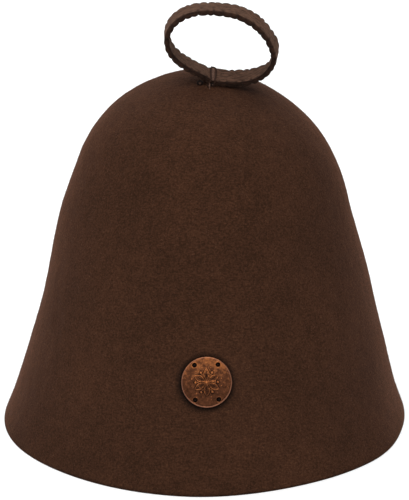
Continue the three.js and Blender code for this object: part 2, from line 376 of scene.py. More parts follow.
CROWN_LOW, CROWN_HIGH = np.array(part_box("crown"))
RIM_HALF_WIDTH = (CROWN_HIGH[0] - CROWN_LOW[0]) / 2
RIM_HALF_DEPTH = (CROWN_HIGH[1] - CROWN_LOW[1]) / 2
CROWN_HEIGHT = CROWN_HIGH[2] - CROWN_LOW[2]


def crown_curve():
    """Half width, half depth and height of the sections, mirrored past the apex."""
    rising = [
        (wide * RIM_HALF_WIDTH, deep * RIM_HALF_DEPTH, up * CROWN_HEIGHT)
        for up, wide, deep, _ in CROWN_SECTIONS
    ]
    falling = [(-w, -d, z) for w, d, z in reversed(rising[:-1])]
    return SmoothCurve(rising + falling, False)


def sway_curve():
    """Sideways shift and height of the sections, with the same rows as the crown's curve."""
    rising = [(sway * RIM_HALF_WIDTH, up * CROWN_HEIGHT) for up, _, _, sway in CROWN_SECTIONS]
    return SmoothCurve(rising + rising[-2::-1], False)


CROWN_CURVE = crown_curve()
SWAY_CURVE = sway_curve()


def crown_point(angle, share):
    """Points of the outer face at angles round the crown and shares of the way from rim to apex."""
    section = CROWN_CURVE.at(np.ravel(share) / 2)
    middle = SWAY_CURVE.at(np.ravel(share) / 2)[:, 0]
    angle = np.ravel(angle)
    x = middle + np.maximum(section[:, 0], 0) * np.cos(angle)
    y = np.maximum(section[:, 1], 0) * np.sin(angle)
    return np.stack([x, y, section[:, 2]], axis=1)


def crown_frame(angle, share):
    """Outward normals and upward tangents at the same places."""
    nudge = 1e-4
    share = np.ravel(share)
    angle = np.ravel(angle)
    low = np.maximum(share - nudge, 0)
    high = np.minimum(share + nudge, 1 - nudge)
    rise = unit(crown_point(angle, high) - crown_point(angle, low))
    middle = (low + high) / 2
    around = unit(crown_point(angle + nudge, middle) - crown_point(angle - nudge, middle))
    return unit(np.cross(around, rise)), rise


def find_share(column, target):
    """The share of the way up where a column of the crown's sections reaches a target."""
    shares = np.linspace(0, 1, 4001)
    values = CROWN_CURVE.at(shares / 2)[:, column]
    order = np.argsort(values)
    return float(np.interp(target, values[order], shares[order]))


# Mesh helpers

def make_piece(name, verts, faces, material):
    mesh = bpy.data.meshes.new(name)
    mesh.from_pydata([tuple(v) for v in verts], [], [tuple(int(i) for i in f) for f in faces])
    mesh.validate()
    mesh.polygons.foreach_set("use_smooth", [True] * len(mesh.polygons))
    mesh.materials.append(material)
    mesh.update()
    piece = bpy.data.objects.new(name, mesh)
    bpy.context.scene.collection.objects.link(piece)
    return piece


def ring_faces(rows, sides, closed_rows=False):
    """Quads between rows of points, each row a closed ring of as many sides."""
    faces = []
    for r in range(rows if closed_rows else rows - 1):
        a = r * sides
        b = (r + 1) % rows * sides
        for i in range(sides):
            j = (i + 1) % sides
            faces.append((a + i, a + j, b + j, b + i))
    return faces


def fan_faces(ring_start, sides, pole, turned):
    """Triangles between a ring and a single point."""
    faces = []
    for i in range(sides):
        a, b = ring_start + i, ring_start + (i + 1) % sides
        faces.append((b, a, pole) if turned else (a, b, pole))
    return faces


def closed_faces(rows, sides):
    """Faces of a closed body: rings of points, and after them a point that closes each end."""
    pole = rows * sides
    faces = ring_faces(rows, sides) + fan_faces(0, sides, pole, True)
    return faces + fan_faces(pole - sides, sides, pole + 1, False)


def circle_points(centre, radius, across, other, sides):
    """Points round a circle in the plane of two directions."""
    angles = [2 * pi * i / sides for i in range(sides)]
    return [centre + radius * (cos(a) * across + sin(a) * other) for a in angles]


def carried_frames(along, start):
    """Two directions square to a path at each of its points, carried along it without a twist."""
    across = np.cross(along[0], start)
    frames = []
    for direction in along:
        across = unit(across - direction * np.dot(across, direction))
        frames.append((across, np.cross(direction, across)))
    return frames


class Bundle:
    """Many small closed bodies gathered into one mesh."""

    def __init__(self):
        self.verts = []
        self.faces = []

    def add(self, verts, faces):
        start = len(self.verts)
        self.verts.extend(verts)
        self.faces.extend(tuple(i + start for i in f) for f in faces)

    def tube(self, path, radius, sides):
        """A round tube along a path, closed with a pointed cap at each end."""
        path = np.asarray(path)
        radius = np.broadcast_to(np.asarray(radius, dtype=float), (len(path),))
        along = unit(np.gradient(path, axis=0))
        rings = []
        for place, r, frame in zip(path, radius, carried_frames(along, (0.3, 0.5, 0.81))):
            rings += circle_points(place, r, *frame, sides)
        first = path[0] - along[0] * radius[0] * 0.5
        last = path[-1] + along[-1] * radius[-1] * 0.5
        self.add(rings + [first, last], closed_faces(len(path), sides))

    def make(self, name, material):
        return make_piece(name, self.verts, self.faces, material)


def soft_noise(points, scale, octaves=1):
    """Smooth noise in -1 to 1 at points, with features of about the given size."""
    values = np.zeros(len(points))
    weight = 1.0
    for octave in range(octaves):
        step = 2 ** octave / scale
        values += weight * np.array([noise.noise(Vector(p * step + 17.3 * octave)) for p in points])
        weight *= 0.5
    return values


# Materials

class Nodes:
    """Short ways to lay out a material's nodes."""

    def __init__(self, name):
        self.material = bpy.data.materials.new(name)
        self.material.use_nodes = True
        self.tree = self.material.node_tree
        self.shader = self.tree.nodes["Principled BSDF"]
        self.place = self.tree.nodes.new("ShaderNodeTexCoord").outputs["Object"]

    def new(self, kind, **inputs):
        node = self.tree.nodes.new(kind)
        for name, value in inputs.items():
            self.put(node.inputs[name.replace("_", " ")], value)
        return node

    def put(self, socket, value):
        if isinstance(value, bpy.types.NodeSocket):
            self.tree.links.new(value, socket)
        else:
            socket.default_value = value

    def mapping(self, scale, turn=(0, 0, 0), vector=None):
        """The object's place, or another vector, turned and scaled."""
        node = self.new("ShaderNodeMapping", Vector=vector or self.place, Scale=scale, Rotation=turn)
        return node.outputs["Vector"]

    def noise(self, size, detail, roughness, distortion=0.0, vector=None):
        """Noise with features of about the given size in metres."""
        node = self.new("ShaderNodeTexNoise", Vector=vector or self.place, Scale=1 / size)
        for name, value in zip(("Detail", "Roughness", "Distortion"), (detail, roughness, distortion)):
            self.put(node.inputs[name], value)
        return node.outputs["Fac"]

    def spread(self, value, low, high, to_low=0.0, to_high=1.0):
        """A value's range of low to high, brought to another range and held in it."""
        node = self.new("ShaderNodeMapRange", Value=value, From_Min=low, From_Max=high)
        self.put(node.inputs["To Min"], to_low)
        self.put(node.inputs["To Max"], to_high)
        return node.outputs["Result"]

    def math(self, operation, a, b):
        node = self.tree.nodes.new("ShaderNodeMath")
        node.operation = operation
        self.put(node.inputs[0], a)
        self.put(node.inputs[1], b)
        return node.outputs[0]

    def add(self, a, b):
        return self.math("ADD", a, b)

    def times(self, a, b):
        return self.math("MULTIPLY", a, b)

    def mix(self, share, a, b):
        node = self.tree.nodes.new("ShaderNodeMix")
        node.data_type = "RGBA"
        self.put(node.inputs["Factor"], share)
        self.put(node.inputs["A"], a)
        self.put(node.inputs["B"], b)
        return node.outputs["Result"]

    def attribute(self, name, output="Fac"):
        node = self.tree.nodes.new("ShaderNodeAttribute")
        node.attribute_name = name
        return node.outputs[output]

    def bump(self, height, distance, strength):
        node = self.new("ShaderNodeBump", Height=height, Distance=distance, Strength=strength)
        self.put(self.shader.inputs["Normal"], node.outputs["Normal"])

    def set(self, **inputs):
        for name, value in inputs.items():
            self.put(self.shader.inputs[name.replace("_", " ")], value)


def colour(red, green, blue):
    """A colour from screen values of 0 to 255."""
    parts = [c / 255 for c in (red, green, blue)]
    return tuple(c / 12.92 if c <= 0.04045 else ((c + 0.055) / 1.055) ** 2.4 for c in parts) + (1,)


def fibre_layers(m, size, stretch):
    """Short fibres lying every way: stretched noise in three directions."""
    total = None
    for turn in ((0.3, 0.2, 0.1), (0.9, 1.3, 0.7), (1.9, 0.5, 2.2)):
        vector = m.mapping((1, stretch, stretch), turn)
        layer = m.noise(size, 2.0, 0.6, 0.4, vector)
        total = layer if total is None else m.add(total, layer)
    return m.times(total, 1 / 3)


def felt_layers(m):
    """Brightness and height of pressed wool: faint clouds, small blotches, fibres and fine grain."""
    clouds = m.noise(50 * MM, 2.0, 0.5)
    blotches = m.noise(7 * MM, 3.0, 0.6)
    fibres = fibre_layers(m, 3.4 * MM, 5)
    grain = m.noise(1.15 * MM, 3.0, 0.7)
    shade = m.add(m.times(clouds, 0.11), m.times(blotches, 0.11))
    shade = m.add(shade, m.add(m.times(fibres, 0.34), m.times(grain, 0.44)))
    height = m.add(m.times(fibres, 0.6), m.times(grain, 0.45))
    height = m.add(height, m.times(blotches, 0.7))
    return shade, height


def badge_shadow(m):
    """1 in the pressed felt close round the badge, where a painted shadow darkens it, and 0 away from
    it.
    """
    centre, side, rise, normal = badge_place()
    # The painted shadow's ring is shifted left and down, so it reaches further there.
    middle = centre - (side * 0.5 + rise * 0.6) * MM
    turn = Matrix((side, rise, normal)).transposed().to_euler()
    node = m.new("ShaderNodeMapping", Vector=m.place, Location=middle, Rotation=turn)
    node.vector_type = "TEXTURE"
    x, y, z = m.new("ShaderNodeSeparateXYZ", Vector=node.outputs["Vector"]).outputs
    distance = m.math("POWER", m.add(m.times(x, x), m.times(y, y)), 0.5)
    near = m.spread(distance, badge_radius(), badge_radius() + 3.8 * MM, 1.0, 0.0)
    return m.times(near, m.spread(z, -2.6 * MM, -2.3 * MM))


def felt_material(name, dark, light, sheen, tint, badge=False):
    m = Nodes(name)
    shade, height = felt_layers(m)
    felt = m.mix(m.math("POWER", m.spread(shade, 0.37, 0.64), 1.6), dark, light)
    # Painted shadow: the felt round the badge is darkened towards near black.
    if badge:
        felt = m.mix(m.times(badge_shadow(m), 0.95), felt, colour(16, 9, 5))
    m.set(Base_Color=felt, Roughness=1.0, Specular_IOR_Level=0.12)
    m.set(Sheen_Weight=sheen, Sheen_Roughness=0.28, Sheen_Tint=tint)
    m.bump(height, 0.9 * MM, 0.75)
    return m.material


def strap_material():
    """The strap's felt: fibres drawn out along it, and darker edges, partly the overcast's dark felt
    and partly painted shade.
    """
    m = Nodes("strap_felt")
    shade, height = felt_layers(m)
    drawn = m.mapping((1, 1, 7), vector=m.attribute("lay", "Vector"))
    streaks = m.noise(5 * MM, 3.0, 0.6, 0.2, drawn)
    shade = m.add(m.times(shade, 0.4), m.times(streaks, 0.6))
    tone = m.spread(shade, 0.43, 0.57)
    face = m.mix(tone, colour(46, 30, 22), colour(94, 68, 53))
    # The edges' colour: the overcast's dark felt, with painted shade mixed in.
    edge = m.mix(tone, colour(18, 10, 7), colour(46, 29, 21))
    ragged = m.add(m.attribute("edge"), m.times(m.add(shade, -0.5), 2.6))
    m.set(Base_Color=m.mix(ragged, face, edge))
    m.set(Roughness=1.0, Specular_IOR_Level=0.12)
    m.set(Sheen_Weight=0.14, Sheen_Roughness=0.4, Sheen_Tint=colour(170, 132, 110))
    m.bump(m.add(m.times(height, 0.5), m.times(streaks, 0.8)), 0.6 * MM, 0.6)
    return m.material


def thread_material(name, dark, light):
    m = Nodes(name)
    streaks = m.noise(0.7 * MM, 2.0, 0.6)
    m.set(Base_Color=m.mix(streaks, dark, light), Roughness=0.85, Specular_IOR_Level=0.25)
    m.set(Sheen_Weight=0.05, Sheen_Roughness=0.5, Sheen_Tint=colour(150, 112, 90))
    m.bump(streaks, 0.1 * MM, 0.6)
    return m.material


def copper_material():
    """Antique copper: dark patina in the engraving, brown mottling, a painted highlight that makes the
    metal brighter towards the top, and a pale painted highlight on the rim.
    """
    m = Nodes("antique_copper")
    relief = m.attribute("relief")
    patches = m.noise(3.2 * MM, 4.0, 0.65, 0.8)
    stains = m.noise(2.0 * MM, 2.0, 0.6, 0.5)
    scratches = m.noise(1.2 * MM, 2.0, 0.6, 0.0, m.mapping((1, 9, 3), (0.2, 0.5, 0.9)))
    height = m.new("ShaderNodeSeparateXYZ", Vector=m.place).outputs["Z"]
    # Painted highlight: brighter metal towards the badge's top.
    painted_top_highlight = m.spread(height, BADGE_HEIGHT - 2 * MM, BADGE_HEIGHT + 13 * MM)
    tarnish = m.add(m.times(patches, 0.5), m.times(stains, 0.5))
    tone = m.add(m.spread(tarnish, 0.37, 0.65, 0.1, 0.44), m.times(relief, 0.3))
    tone = m.add(tone, m.times(painted_top_highlight, 0.26))
    brown = m.mix(m.spread(tone, -0.05, 0.42), colour(30, 17, 10), colour(100, 60, 39))
    metal = m.mix(m.spread(tone, 0.36, 0.95), brown, colour(224, 138, 78))
    # Painted highlight: the rim bead gets a pale colour.
    m.set(Base_Color=m.mix(m.times(m.attribute("rim"), 0.5), metal, colour(166, 114, 90)))
    m.set(Metallic=0.8, Specular_IOR_Level=0.1, Roughness=m.spread(tarnish, 0.3, 0.7, 0.6, 0.36))
    m.bump(m.add(m.times(stains, 0.6), m.times(scratches, 0.4)), 0.14 * MM, 0.6)
    return m.material


# Crown

def rim_reach(angles, heights):
    """How far the uneven rim reaches at angles and heights, as a share of the plain oval."""
    fine = np.arange(-360, 360, 2.0)
    degrees, share = np.array(RIM_REACH).T
    turns = np.concatenate([degrees - 360, degrees, degrees + 360])
    reach = np.interp(fine, turns, np.tile(share, 3))
    blur = np.exp(-(np.arange(-6, 7) / 2.5) ** 2)
    reach = np.convolve(reach, blur / blur.sum(), "same")
    wrapped = (np.degrees(angles) + 180) % 360 - 180
    fade = np.clip(1 - heights / RIM_REACH_HEIGHT, 0, 1) ** 2
    return 1 + (np.interp(wrapped, fine[6:-6], reach[6:-6]) - 1) * fade


def at_rim_reach(points, angles):
    """Points of the plain oval moved out or in to the uneven rim."""
    reach = rim_reach(angles, points[:, 2])
    return points * np.stack([reach, reach, np.ones_like(reach)], axis=1)


def dent_depth(points):
    depth = np.zeros(len(points))
    for degrees, height, radius, deep in DENTS:
        share = find_share(HEIGHT_COLUMN, height * MM)
        centre = crown_point(radians(degrees), share)[0]
        distance = np.linalg.norm(points - centre, axis=1)
        depth += deep * MM * np.exp(-(distance / (radius * MM)) ** 2)
    return depth


def badge_seat(points):
    """How far the sewn badge rules the felt, from 0 to 1, and the rise that meets its flat back."""
    centre, _, _, normal = badge_place()
    radius = badge_radius()
    away = points - centre
    distance = np.linalg.norm(away, axis=1)
    hold = 1 - smooth_step(distance, radius, radius + BADGE_SETTLE)
    gap = BADGE_GAP + BADGE_EDGE_GAP * np.minimum(distance / radius, 1) ** 2
    return hold, -gap - away @ normal


def felt_puckers(points):
    """Small folds that run down the felt from the binding's stitches."""
    x, y = points[:, 0] / MM, points[:, 1] / MM
    near = np.exp(-((y + 30) / 6) ** 2 - ((x - 5) / 12) ** 2) * (points[:, 2] > CROWN_HEIGHT / 2)
    return 0.2 * MM * np.cos(2 * pi * (x + 0.05 * (y + 26) * (x - 5)) / 2.6) * near


def felt_relief(points):
    """How far the felt stands off its plain shape: lumps, marks, dents and the badge's seat."""
    lumps = LUMP_HEIGHT * soft_noise(points, LUMP_SIZE, 2)
    marks = MARK_HEIGHT * soft_noise(points, MARK_SIZE, 2)
    relief = lumps + marks + felt_puckers(points) - dent_depth(points)
    hold, rise = badge_seat(points)
    return relief + (rise - relief) * hold


def make_crown(material):
    """The felt bell: outer face, inner face and the cut rim between them, rounded at its edges."""
    angles = np.arange(CROWN_SIDES) * 2 * pi / CROWN_SIDES
    lowest = find_share(HEIGHT_COLUMN, LOWEST_RING)

    def face(rings, inward):
        """Rings of one face from just above the rim to just below the apex."""
        shares = lowest + (HIGHEST_RING_SHARE - lowest) * np.linspace(0, 1, rings)
        angle, share = np.meshgrid(angles, shares)
        points = crown_point(angle, share)
        normals, _ = crown_frame(angle, share)
        height = felt_relief(points) * np.clip((points[:, 2] - CALM_RIM) / CALM_FADE, 0, 1)
        return at_rim_reach(points + normals * (height - inward)[:, None], np.ravel(angle))

    outer = face(CROWN_RINGS, 0)
    inner = face(INNER_RINGS, FELT_WALL)
    inner[:, 2] = np.maximum(inner[:, 2], LOWEST_INNER_RING)

    rim = crown_point(angles, np.zeros(CROWN_SIDES))
    normals, rise = crown_frame(angles, np.zeros(CROWN_SIDES))
    inner_rim = rim - normals * FELT_WALL
    inner_rim -= rise * (inner_rim[:, 2] / rise[:, 2])[:, None]
    rim_rows = []
    for share, height in RIM_ROWS:
        row = rim + (inner_rim - rim) * share
        row[:, 2] = height * MM
        rim_rows.append(at_rim_reach(row, angles))

    inner = inner.reshape(INNER_RINGS, CROWN_SIDES, 3)[::-1].reshape(-1, 3)
    rows = np.concatenate([inner] + rim_rows + [outer])
    apex = crown_point(0, 1)[0]
    verts = np.concatenate([rows, [apex - (0, 0, FELT_WALL), apex]])
    faces = closed_faces(len(rows) // CROWN_SIDES, CROWN_SIDES)
    return make_piece("felt_crown", verts, faces, material)


def make_crown_fuzz(material):
    """Loose wool fibres standing off the felt."""
    dice = random.Random(FIBRE_SEED)
    bundle = Bundle()
    angles = np.array([dice.uniform(0, 2 * pi) for _ in range(FIBRE_COUNT)])
    heights = np.array([dice.uniform(*FIBRE_HEIGHTS) for _ in range(FIBRE_COUNT)]) * CROWN_HEIGHT
    shares_table = np.linspace(0, 1, 2001)
    height_table = CROWN_CURVE.at(shares_table / 2)[:, HEIGHT_COLUMN]
    shares = np.interp(heights, height_table, shares_table)
    places = crown_point(angles, shares)
    normals, rises = crown_frame(angles, shares)
    relief = felt_relief(places)
    places = at_rim_reach(places, angles)
    for place, normal, rise, lift in zip(places, normals, rises, relief):
        turn = dice.uniform(0, 2 * pi)
        side = np.cross(normal, rise)
        lie = rise * cos(turn) + side * sin(turn)
        length = dice.uniform(*FIBRE_LENGTHS) * MM
        stand = dice.uniform(*FIBRE_STANDS)
        curl = dice.uniform(*FIBRE_CURLS)
        root = place + normal * (lift - FIBRE_ROOT)
        middle = root + (lie * (1 - stand) + normal * stand) * length * 0.5
        bent = lie + np.cross(normal, lie) * curl
        tip = middle + (unit(bent) * 0.8 + normal * 0.2 * stand) * length * 0.5
        add_fibre(bundle, (root, middle, tip), dice.uniform(*FIBRE_RADII) * MM)
    return bundle.make("felt_fuzz", material)


def add_fibre(bundle, path, radius):
    """A three-sided fibre that tapers to a point."""
    root, middle, tip = path
    along = unit(middle - root)
    across = unit(np.cross(along, (0.31, 0.57, 0.76)))
    other = np.cross(along, across)
    verts = []
    for place, r in ((root, radius), (middle, radius * 0.8)):
        verts += circle_points(place, r, across, other, 3)
    faces = ring_faces(2, 3) + fan_faces(3, 3, 6, False) + [(2, 1, 0)]
    bundle.add(verts + [tip], faces)


# Loop

def loop_frame():
    share = find_share(DEPTH_COLUMN, LOOP_FORWARD)
    normal, rise = crown_frame(FRONT, share)
    seat = crown_point(FRONT, share)[0]
    seat[0] = LOOP_ASIDE
    return seat, normal[0], -rise[0]


LOOP_SEAT, LOOP_UP, LOOP_FRONT = loop_frame()
LOOP_CURVE = SmoothCurve(
    [((a - 0.5) * LOOP_WIDTH, u * LOOP_HEIGHT, radians(t) * MM) for a, u, t in LOOP_TURNS], True
)


def stitch_row(seed):
    """Shares of the loop's length where one edge's stitches sit, and how hard each one pulls."""
    dice = random.Random(seed)
    count = round(LOOP_CURVE.length / SCALLOP_PITCH)
    places = [(k + dice.uniform(*STITCH_STRAY)) / count for k in range(1, count)]
    pulls = [dice.uniform(*STITCH_PULLS) for _ in range(count)]
    return np.array([0.0] + places + [1.0]), np.array(pulls + pulls[:1])


STITCH_ROWS = {edge: stitch_row(seed) for edge, seed in STITCH_SEEDS.items()}


def edge_pull(edge, share):
    """How hard the overcast pulls one edge of the strap in at a share of its length."""
    shares, pulls = STITCH_ROWS[edge]
    count = np.arange(len(shares))
    phase = np.interp(share, shares, count)
    pinch = 1 - abs(sin(pi * phase)) ** SCALLOP_SHARPNESS
    return float(pinch * np.interp(phase, count, pulls))


def turned(vectors, axes, angles):
    """Vectors turned about unit axes at right angles to them."""
    c, s = np.cos(angles)[:, None], np.sin(angles)[:, None]
    return vectors * c + np.cross(axes, vectors) * s


def strap_frames(share):
    """Places on the strap's outer face, and the directions along, out of and across it."""
    share = np.atleast_1d(share)
    nudge = 1e-3
    turn = LOOP_CURVE.at_share(share)
    ahead = LOOP_CURVE.at_share(share + nudge)
    behind = LOOP_CURVE.at_share(share - nudge)
    step = ahead - behind
    place = LOOP_SEAT + turn[:, :1] * SIDEWAYS + turn[:, 1:2] * LOOP_UP
    along = unit(step[:, :1] * SIDEWAYS + step[:, 1:2] * LOOP_UP)
    front = np.broadcast_to(LOOP_FRONT, along.shape)
    out = unit(np.cross(along, front))
    twist = turn[:, 2] / MM
    return place, along, turned(out, along, twist), turned(front, along, twist)


def strap_edge(side, half, start, end):
    """One edge of the strap's section from face to face: rows of across, out and inset."""
    r = STRAP_EDGE_ROUND
    toward = 1 if end > start else -1
    rows = []
    for step in range(4):
        angle = pi / 2 * step / 3
        across = half - r + r * sin(angle)
        rows.append((side * across, start + toward * r * (1 - cos(angle)), -angle * r))
    for share in (0.15, 0.5, 0.85):
        out = start + toward * (r + share * (abs(end - start) - 2 * r))
        rows.append((side * (half + EDGE_BULGE * sin(pi * share)), out, -2 * r))
    return rows + [(w, start + end - o, inset) for w, o, inset in reversed(rows[:4])]


def strap_face(side, start, end, middle):
    """One face of the section, from one side's half width and edge height to the other side's."""
    halves = []
    for where, (half, rim) in ((side, start), (-side, end)):
        rows = []
        for inset in STRAP_INSETS:
            across = half - STRAP_EDGE_ROUND - inset * MM
            out = rim + (middle - rim) * smooth_step(inset, 0, PINCH_REACH)
            rows.append((where * across, out, inset * MM))
        halves.append(rows)
    return halves[0] + [(0.0, middle, STRAP_WIDTH / 2)] + halves[1][::-1]


def strap_section(share):
    """One section of the strap, with both edges pulled in near a stitch: rows of across, out and edge
    darkness, partly painted shade.
    """
    pulls = {side: edge_pull(side, share) for side in (1, -1)}
    half = {side: STRAP_WIDTH / 2 - SCALLOP_DEPTH * pulls[side] for side in pulls}
    sunk = {side: SCALLOP_PINCH * pulls[side] - SCALLOP_SWELL for side in pulls}
    top = {side: -sunk[side] for side in pulls}
    bottom = {side: sunk[side] - STRAP_THICKNESS for side in pulls}
    rows = []
    for row in (
        strap_edge(1, half[1], top[1], bottom[1]),
        strap_face(1, (half[1], bottom[1]), (half[-1], bottom[-1]), -STRAP_THICKNESS),
        strap_edge(-1, half[-1], bottom[-1], top[-1]),
        strap_face(-1, (half[-1], top[-1]), (half[1], top[1]), 0.0),
    ):
        for w, o, inset in row:
            shade = edge_shade(inset, pulls[1 if w > 0 else -1], w > 0, -o / STRAP_THICKNESS)
            rows.append((w, o, shade))
    return rows


def edge_shade(inset, pull, near, depth):
    """How dark the strap's edge is painted, from 0 to 1: the overcast's darker felt, deepened with
    painted shade.

    inset is the distance in from the strap's edge and depth the share of the way to its inner face.
    near is whether the edge is the one toward the front.
    """
    # Painted shade: the near edge darkens toward the inner face and at each stitch's pinch; the far
    # edge's border is painted fully dark.
    if near:
        most = min(0.62 + 0.5 * pull + 0.45 * depth, 1)
        reach = (0.2 + 1.9 * pull) * MM
    else:
        most = 1.0
        reach = (0.75 + 1.3 * pull) * MM
    return most * min(max((reach - inset) / (0.5 * MM), 0), 1)


def make_strap_mesh():
    shares = np.arange(STRAP_STEPS) / STRAP_STEPS
    place, along, out, across = strap_frames(shares)
    radius = LOOP_CURVE.length / (2 * pi)
    verts, dark, lay = [], [], []
    for i, share in enumerate(shares):
        angle = 2 * pi * share
        for w, o, d in strap_section(share):
            verts.append(place[i] + across[i] * w + out[i] * o)
            dark.append(d)
            lay.append((radius * cos(angle), radius * sin(angle), w + 0.7 * o))
    return np.array(verts), np.array(dark), np.array(lay)


def place_on_frame(verts, node):
    """The shift that brings points to the middle of a CAD node's box."""
    low, high = np.array(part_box(node))
    return (low + high) / 2 - (verts.min(axis=0) + verts.max(axis=0)) / 2


STRAP_VERTS, STRAP_EDGE_DARK_AND_SHADE, STRAP_LAY = make_strap_mesh()
STRAP_SHIFT = place_on_frame(STRAP_VERTS, "loop_strap")
LOOP_SEAT = LOOP_SEAT + STRAP_SHIFT


def make_loop(material):
    verts = STRAP_VERTS + STRAP_SHIFT
    sides = len(verts) // STRAP_STEPS
    rings = verts.reshape(STRAP_STEPS, sides, 3)
    outward = unit(verts - np.repeat(rings.mean(axis=1), sides, axis=0))
    lumps = STRAP_LUMP_HEIGHT * soft_noise(verts, STRAP_LUMP_SIZE, 2)
    verts = verts + outward * lumps[:, None]
    faces = [face[::-1] for face in ring_faces(STRAP_STEPS, sides, True)]
    piece = make_piece("felt_loop", verts, faces, material)
    # The edge attribute carries the edges' darkening, partly painted shade.
    edge = piece.data.attributes.new("edge", "FLOAT", "POINT")
    edge.data.foreach_set("value", STRAP_EDGE_DARK_AND_SHADE)
    lay = piece.data.attributes.new("lay", "FLOAT_VECTOR", "POINT")
    lay.data.foreach_set("vector", STRAP_LAY.ravel())
    return piece


def make_overcast(material):
    """Whip stitches round both edges of the strap, one in each pinch of the scallops."""
    bundle = Bundle()
    reach = 1.7 * MM
    slant = np.linspace(-0.8, 0.8, 13) * MM / LOOP_CURVE.length
    for edge, (shares, pulls) in STITCH_ROWS.items():
        for share, pull in zip(shares[:-1], pulls):
            place, _, out, across = strap_frames(share + slant)
            half = STRAP_WIDTH / 2 - SCALLOP_DEPTH * pull
            thick = STRAP_THICKNESS / 2 - SCALLOP_PINCH * pull + OVERCAST_THREAD * 0.3
            path = []
            for i in range(len(slant)):
                angle = pi * (i / (len(slant) - 1) - 0.5) * 1.25
                w = half - reach + (reach + OVERCAST_THREAD * 0.1) * cos(angle)
                if abs(angle) > pi / 2:
                    w = half - reach - (abs(angle) - pi / 2) * reach
                o = -STRAP_THICKNESS / 2
                o += thick * sin(max(min(angle, pi / 2), -pi / 2))
                path.append(place[i] + across[i] * w * edge + out[i] * o)
            bundle.tube(path, OVERCAST_THREAD / 2, 6)
    return bundle.make("loop_overcast", material)


# Binding

def beside_strap(aside, w, o):
    """A point at a distance along the strap from the binding, across it and out of it."""
    place, _, out, across = strap_frames((THREAD_ASIDE + aside) / LOOP_CURVE.length)
    return place[0] + across[0] * w + out[0] * o


def binding_path():
    """The thread's line: up from the felt, over the strap's inner face, round its turn and back."""
    clear = THREAD_CLEAR + BINDING_THREAD / 2
    half = STRAP_WIDTH / 2
    bend = THREAD_SPACING / 2

    def strand(side):
        low = side * THREAD_FOOT_SPACING / 2
        turns = [
            (low, half + clear, 1.6 * MM),
            (low, half + clear, -STRAP_THICKNESS / 2),
            (low, half + clear * 0.8, -STRAP_THICKNESS - clear * 0.4),
            (low, half - STRAP_EDGE_ROUND, -STRAP_THICKNESS - clear * 1.1),
            (side * bend, 0, -STRAP_THICKNESS - clear),
            (side * bend, bend - half, -STRAP_THICKNESS - clear),
        ]
        return [beside_strap(*turn) for turn in turns]

    arch = []
    for angle, lift in ((45, 0.9), (90, 0.3), (135, 0.9)):
        angle = radians(angle)
        w = bend - half - (bend + THREAD_ARCH) * sin(angle)
        arch.append(beside_strap(-bend * cos(angle), w, -STRAP_THICKNESS - clear * lift))
    return strand(-1) + arch + strand(1)[::-1]


def twisted_thread(bundle, path, diameter, lay, steps):
    """Two plies wound round each other along a path."""
    curve = SmoothCurve(path, False)
    points = curve.at_share(np.linspace(0, 1, steps))
    along = unit(np.gradient(points, axis=0))
    frames = carried_frames(along, (0.2, 0.9, 0.4))
    for ply in (0, 1):
        line = []
        for i, point in enumerate(points):
            angle = pi * ply + 2 * pi * i / (steps - 1) * curve.length / lay
            a, b = frames[i]
            line.append(point + diameter * 0.24 * (cos(angle) * a + sin(angle) * b))
        bundle.tube(line, diameter * 0.27, 6)


def make_binding(material):
    bundle = Bundle()
    twisted_thread(bundle, binding_path(), BINDING_THREAD, 2.6 * MM, 150)
    return bundle.make("loop_binding", material)


def felt_place(x, y):
    """The crown's surface above a place near the apex, with its normal."""
    angle = atan2(y / RIM_HALF_DEPTH, x / RIM_HALF_WIDTH)
    shares = np.linspace(0.55, 1, 900)
    points = crown_point(np.full(900, angle), shares)
    best = int(np.argmin(np.hypot(points[:, 0] - x, points[:, 1] - y)))
    normal, _ = crown_frame(angle, shares[best])
    return points[best], normal[0]


def thread_ring(bundle, centre, side, up, radius, diameter):
    """A small loop of thread in the plane of two directions, its ends passing each other."""
    front = unit(np.cross(side, up))
    ring = []
    for i in range(26):
        angle = 2 * pi * i / 25 + 0.6
        lift = 0.3 * diameter * cos(angle * 0.5)
        place = centre + radius * (cos(angle) * side + sin(angle) * up)
        ring.append(place + front * lift)
    twisted_thread(bundle, ring, diameter, 2.2 * MM, 60)


def knot_places():
    """Middles of the thread's two small loops: one on the felt, one on the strap's near edge."""
    place, normal = felt_place(-1.2 * MM, -23.2 * MM)
    first = place + normal * 1.5 * MM
    second = beside_strap(0.9 * MM, STRAP_WIDTH / 2 + 0.4 * MM, -0.7 * MM)
    return first, normal, second


def make_knot(material):
    """The knot beside the binding and its small loop on the strap's edge."""
    bundle = Bundle()
    first, normal, second = knot_places()
    thread_ring(bundle, first, SIDEWAYS, normal, 1.55 * MM, 1.4 * MM)
    thread_ring(bundle, second, SIDEWAYS, normal, 1.0 * MM, 0.95 * MM)
    return bundle.make("binding_knot", material)


def add_lump(bundle, centre, axes):
    """A small closed lump of pulled felt, from its middle and its three half axes."""
    rings, sides = 11, 14
    ball = []
    for r in range(1, rings):
        tilt = pi * (1 - r / rings)
        for i in range(sides):
            turn = 2 * pi * i / sides
            ring = sin(tilt)
            ball.append((ring * cos(turn), ring * sin(turn), cos(tilt)))
    points = np.array(ball + [(0, 0, -1), (0, 0, 1)]) @ np.array(axes) + centre
    points += (points - centre) * (0.3 * soft_noise(points, 0.9 * MM))[:, None]
    bundle.add(points, closed_faces(rings - 1, sides))


